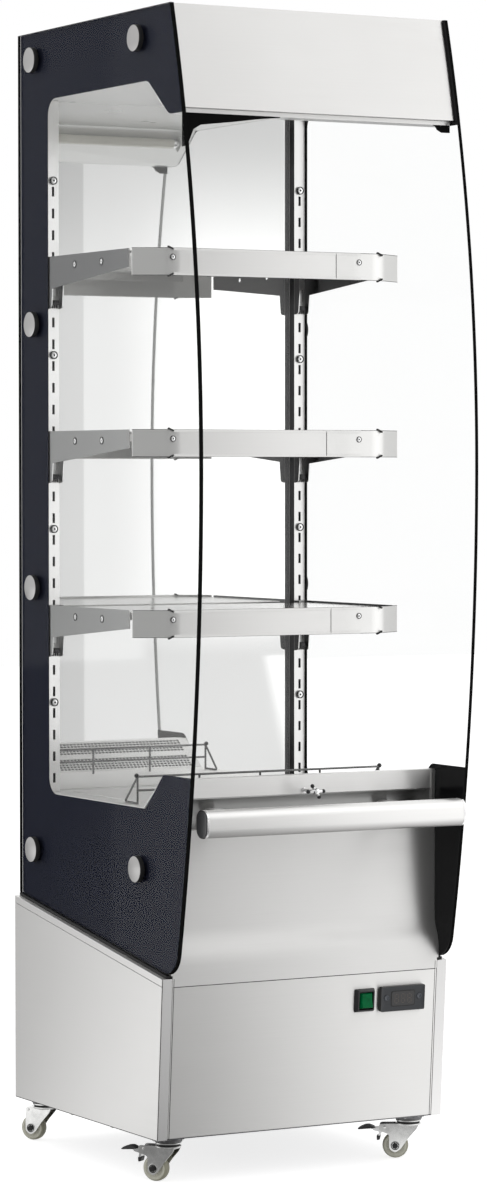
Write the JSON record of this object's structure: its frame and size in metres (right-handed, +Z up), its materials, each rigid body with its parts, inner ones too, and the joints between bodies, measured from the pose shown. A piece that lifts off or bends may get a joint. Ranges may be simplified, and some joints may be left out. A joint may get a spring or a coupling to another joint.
{
  "type": "heated display cabinet",
  "caption": "Tall heated self-serve display cabinet: steel base on castors, curved side glasses, hanging shelves on slotted uprights, lit canopy and a front bar.",
  "frame": {"origin": "on the floor under the middle of the whole assembly", "axes": "+X to the right seen from the front, the front faces -Y, +Z up"},
  "size_m": [0.509, 0.6024, 1.75],
  "materials": {
    "stainless": "brushed",
    "polished_steel": "polished",
    "printed_glass": "dark printed border, clear middle",
    "seal": "matte",
    "lamp": "frosted, warm white",
    "dark_steel": "satin",
    "chrome": "bright",
    "wheel_nylon": "satin",
    "black_plastic": "satin",
    "green_plastic": "glossy",
    "black_paint": "satin"
  },
  "bodies": {
    "cabinet": {"base_shell": "stainless", "base_front_cover": "stainless", "base_floor": "stainless", "left_glass": "printed_glass", "right_glass": "printed_glass", "left_gasket": "seal", "right_gasket": "seal", "left_cap_1": "stainless", "right_cap_1": "stainless", "left_cap_2": "stainless", "right_cap_2": "stainless", "left_cap_3": "stainless", "right_cap_3": "stainless", "left_cap_4": "stainless", "right_cap_4": "stainless", "left_cap_5": "stainless", "right_cap_5": "stainless", "left_cap_6": "stainless", "right_cap_6": "stainless", "rear_cover": "stainless", "rear_wall": "polished_steel", "left_upright": "stainless", "right_upright": "stainless", "canopy": "stainless", "canopy_soffit": "polished_steel", "lamp_tube": "lamp", "deck": "stainless", "air_sill": "stainless", "front_panel": "stainless", "grip_recess": "dark_steel", "handle_bar": "stainless", "switch_bezel": "black_plastic", "controller": "black_plastic", "fan_housing": "black_paint", "air_heater": "dark_steel"},
    "shelf_1_body": {"shelf_1": "stainless", "left_bracket_1": "stainless", "right_bracket_1": "stainless"},
    "shelf_2_body": {"shelf_2": "stainless", "left_bracket_2": "stainless", "right_bracket_2": "stainless"},
    "shelf_3_body": {"shelf_3": "stainless", "left_bracket_3": "stainless", "right_bracket_3": "stainless"},
    "guard": {"wire_guard": "chrome"},
    "wing_screw_body": {"wing_screw": "chrome"},
    "rocker_body": {"rocker": "green_plastic"},
    "left_key_body": {"left_key": "black_plastic"},
    "right_key_body": {"right_key": "black_plastic"},
    "fan_rotor_body": {"fan_rotor": "dark_steel"},
    "front_left_fork_body": {"front_left_fork": "chrome"},
    "front_left_wheel_body": {"front_left_wheel": "wheel_nylon"},
    "front_left_pedal_body": {"front_left_pedal": "black_plastic"},
    "front_right_fork_body": {"front_right_fork": "chrome"},
    "front_right_wheel_body": {"front_right_wheel": "wheel_nylon"},
    "front_right_pedal_body": {"front_right_pedal": "black_plastic"},
    "rear_left_fork_body": {"rear_left_fork": "chrome"},
    "rear_left_wheel_body": {"rear_left_wheel": "wheel_nylon"},
    "rear_right_fork_body": {"rear_right_fork": "chrome"},
    "rear_right_wheel_body": {"rear_right_wheel": "wheel_nylon"}
  },
  "joints": [
    {"name": "shelf_1_lift", "type": "slide", "parent": "cabinet", "child": "shelf_1_body", "axis": [0, 0, 1], "range_m": [0, 0.006]},
    {"name": "shelf_2_lift", "type": "slide", "parent": "cabinet", "child": "shelf_2_body", "axis": [0, 0, 1], "range_m": [0, 0.006]},
    {"name": "shelf_3_lift", "type": "slide", "parent": "cabinet", "child": "shelf_3_body", "axis": [0, 0, 1], "range_m": [0, 0.006]},
    {"name": "guard_lift", "type": "slide", "parent": "cabinet", "child": "guard", "axis": [0, 0, 1], "range_m": [0, 0.05]},
    {"name": "wing_screw_turn", "type": "hinge", "parent": "cabinet", "child": "wing_screw_body", "pos_m": [0.00596, -0.18917, 0.583], "axis": [0, 1, 0], "continuous": true},
    {"name": "rocker_tilt", "type": "hinge", "parent": "cabinet", "child": "rocker_body", "pos_m": [0.10846, -0.197, 0.25947], "axis": [1, 0, 0], "range_deg": [0, 16]},
    {"name": "left_key_press", "type": "slide", "parent": "cabinet", "child": "left_key_body", "axis": [0, 0.9976, 0.0698], "range_m": [0, 0.0008], "stiffness_N_per_m": 400},
    {"name": "right_key_press", "type": "slide", "parent": "cabinet", "child": "right_key_body", "axis": [0, 0.9976, 0.0698], "range_m": [0, 0.0008], "stiffness_N_per_m": 400},
    {"name": "fan_spin", "type": "hinge", "parent": "cabinet", "child": "fan_rotor_body", "pos_m": [0.00596, 0.05183, 0.4832], "axis": [0, 1, 0], "continuous": true},
    {"name": "front_left_swivel", "type": "hinge", "parent": "cabinet", "child": "front_left_fork_body", "pos_m": [-0.20504, -0.14917, 0.055], "axis": [0, 0, 1], "continuous": true},
    {"name": "front_left_roll", "type": "hinge", "parent": "front_left_fork_body", "child": "front_left_wheel_body", "pos_m": [-0.21622, -0.13259, 0.02], "axis": [0.829, 0.5592, 0], "continuous": true},
    {"name": "front_left_brake", "type": "hinge", "parent": "front_left_fork_body", "child": "front_left_pedal_body", "pos_m": [-0.22517, -0.11933, 0.049], "axis": [0.829, 0.5592, 0], "range_deg": [-12, 0]},
    {"name": "front_right_swivel", "type": "hinge", "parent": "cabinet", "child": "front_right_fork_body", "pos_m": [0.21696, -0.14917, 0.055], "axis": [0, 0, 1], "continuous": true},
    {"name": "front_right_roll", "type": "hinge", "parent": "front_right_fork_body", "child": "front_right_wheel_body", "pos_m": [0.20038, -0.13799, 0.02], "axis": [0.5592, 0.829, 0], "continuous": true},
    {"name": "front_right_brake", "type": "hinge", "parent": "front_right_fork_body", "child": "front_right_pedal_body", "pos_m": [0.18712, -0.12904, 0.049], "axis": [0.5592, 0.829, 0], "range_deg": [-12, 0]},
    {"name": "rear_left_swivel", "type": "hinge", "parent": "cabinet", "child": "rear_left_fork_body", "pos_m": [-0.20504, 0.26583, 0.055], "axis": [0, 0, 1], "continuous": true},
    {"name": "rear_left_roll", "type": "hinge", "parent": "rear_left_fork_body", "child": "rear_left_wheel_body", "pos_m": [-0.21651, 0.28221, 0.02], "axis": [0.8192, 0.5736, 0], "continuous": true},
    {"name": "rear_right_swivel", "type": "hinge", "parent": "cabinet", "child": "rear_right_fork_body", "pos_m": [0.21696, 0.26583, 0.055], "axis": [0, 0, 1], "continuous": true},
    {"name": "rear_right_roll", "type": "hinge", "parent": "rear_right_fork_body", "child": "rear_right_wheel_body", "pos_m": [0.20164, 0.27868, 0.02], "axis": [0.6428, 0.766, 0], "continuous": true}
  ]
}
